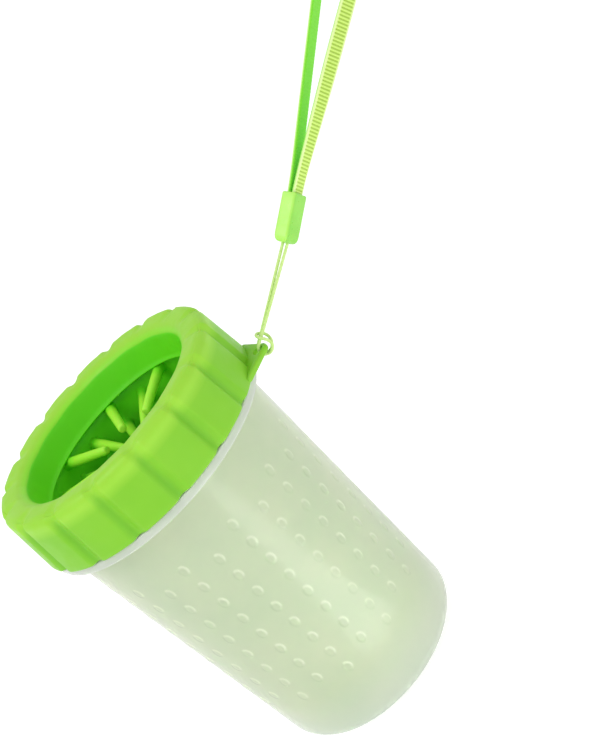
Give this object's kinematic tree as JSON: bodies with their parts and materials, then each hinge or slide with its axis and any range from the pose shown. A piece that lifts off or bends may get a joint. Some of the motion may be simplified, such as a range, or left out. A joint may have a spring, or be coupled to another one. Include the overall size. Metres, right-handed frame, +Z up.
{
  "type": "paw washer cup",
  "caption": "Translucent cup with a drop-in sleeve of soft fingers, a lobed twist-lock collar around its mouth, and a wrist lanyard on a tab.",
  "frame": {"origin": "centre of the cup's flat underside, on the surface it stands on", "axes": "+Z up along the cup's axis towards the mouth, +X from the axis to the lanyard tab"},
  "size_m": [0.2422, 0.127, 0.2128],
  "materials": {
    "frosted_plastic": "frosted, translucent, moulded",
    "green_silicone": "soft satin silicone",
    "lime_rubber": "soft satin, moulded",
    "lime_cord": "fine braided cord",
    "lime_plastic": "moulded, satin gloss",
    "lime_webbing": "ribbed narrow webbing, darker inner face"
  },
  "bodies": {
    "cup_body": {"cup": "frosted_plastic"},
    "insert_body": {"bristle_sleeve": "green_silicone", "bristle_fingers": "green_silicone"},
    "collar_body": {"collar": "lime_rubber"},
    "lanyard_body": {"cord_loop": "lime_cord", "cord_clamp": "lime_plastic", "wrist_webbing": "lime_webbing"}
  },
  "joints": [
    {"name": "insert_lift", "type": "slide", "parent": "cup_body", "child": "insert_body", "axis": [0, 0, 1], "range_m": [0, 0.135]},
    {"name": "collar_twist", "type": "hinge", "parent": "insert_body", "child": "collar_body", "pos_m": [0, 0, 0.1213], "axis": [0, 0, 1], "range_deg": [-45, 0]},
    {"name": "lanyard_swing", "type": "hinge", "parent": "collar_body", "child": "lanyard_body", "pos_m": [0.05695, 0, 0.1223], "axis": [0, 1, 0], "range_deg": [-55, 75]}
  ]
}
